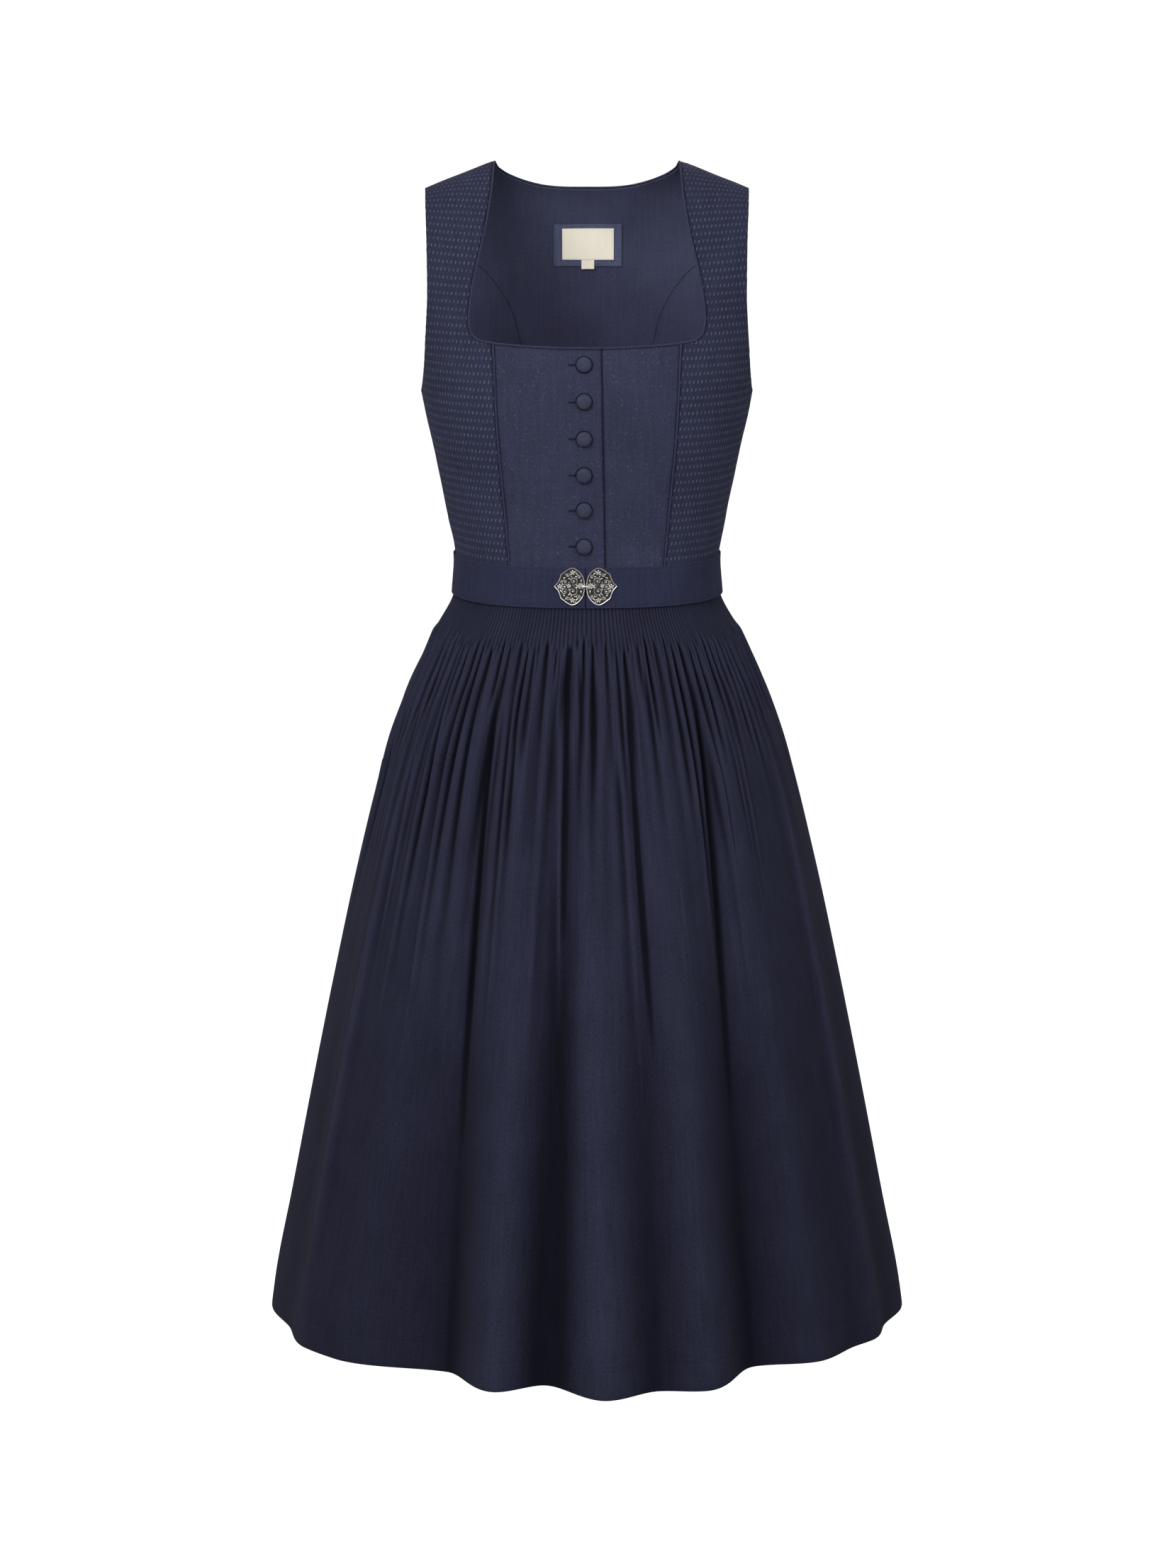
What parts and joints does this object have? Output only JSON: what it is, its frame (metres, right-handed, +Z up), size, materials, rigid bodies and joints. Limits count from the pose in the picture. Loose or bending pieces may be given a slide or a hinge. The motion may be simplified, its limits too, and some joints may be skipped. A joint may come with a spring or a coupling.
{
  "type": "dirndl dress",
  "caption": "Sleeveless dirndl with square neck, straps, covered front buttons, a waist belt with metal clasp and a long pleated skirt, filled out and hollow as if worn.",
  "frame": {"origin": "midway between the tops of the two straps at the neck edge, where the wearer's shoulders hold it", "axes": "+Z up, -Y to the front of the dress, +X to the wearer's left"},
  "size_m": [0.6562, 0.5902, 1.182],
  "materials": {
    "bodice_cloth": "matte navy cotton jacquard with small pale dashes on the sides and straps",
    "piping_cloth": "matte navy covered cord",
    "button_cloth": "matte navy cloth over a domed blank",
    "lining_cloth": "smooth navy cotton",
    "belt_cloth": "matte navy ribbed band",
    "clasp_metal": "stamped old silver, dark in its ground",
    "skirt_cloth": "matte midnight-blue fine twill",
    "patch_cloth": "matte navy cloth",
    "label_cloth": "bare cream woven satin"
  },
  "bodies": {
    "root": {"back_center": "bodice_cloth", "back_side_left": "bodice_cloth", "back_side_right": "bodice_cloth", "belt": "belt_cloth", "button_1": "button_cloth", "button_2": "button_cloth", "button_3": "button_cloth", "button_4": "button_cloth", "button_5": "button_cloth", "button_6": "button_cloth", "clasp_hook": "clasp_metal", "clasp_left": "clasp_metal", "clasp_right": "clasp_metal", "front_left": "bodice_cloth", "front_right": "bodice_cloth", "label": "label_cloth", "label_patch": "patch_cloth", "lining_back_center": "lining_cloth", "lining_back_side_left": "lining_cloth", "lining_back_side_right": "lining_cloth", "piping_front_left": "piping_cloth", "piping_front_right": "piping_cloth", "piping_neck": "piping_cloth", "side_front_left": "bodice_cloth", "side_front_right": "bodice_cloth", "size_tab": "label_cloth", "skirt_back": "skirt_cloth", "skirt_front": "skirt_cloth"}
  },
  "joints": []
}
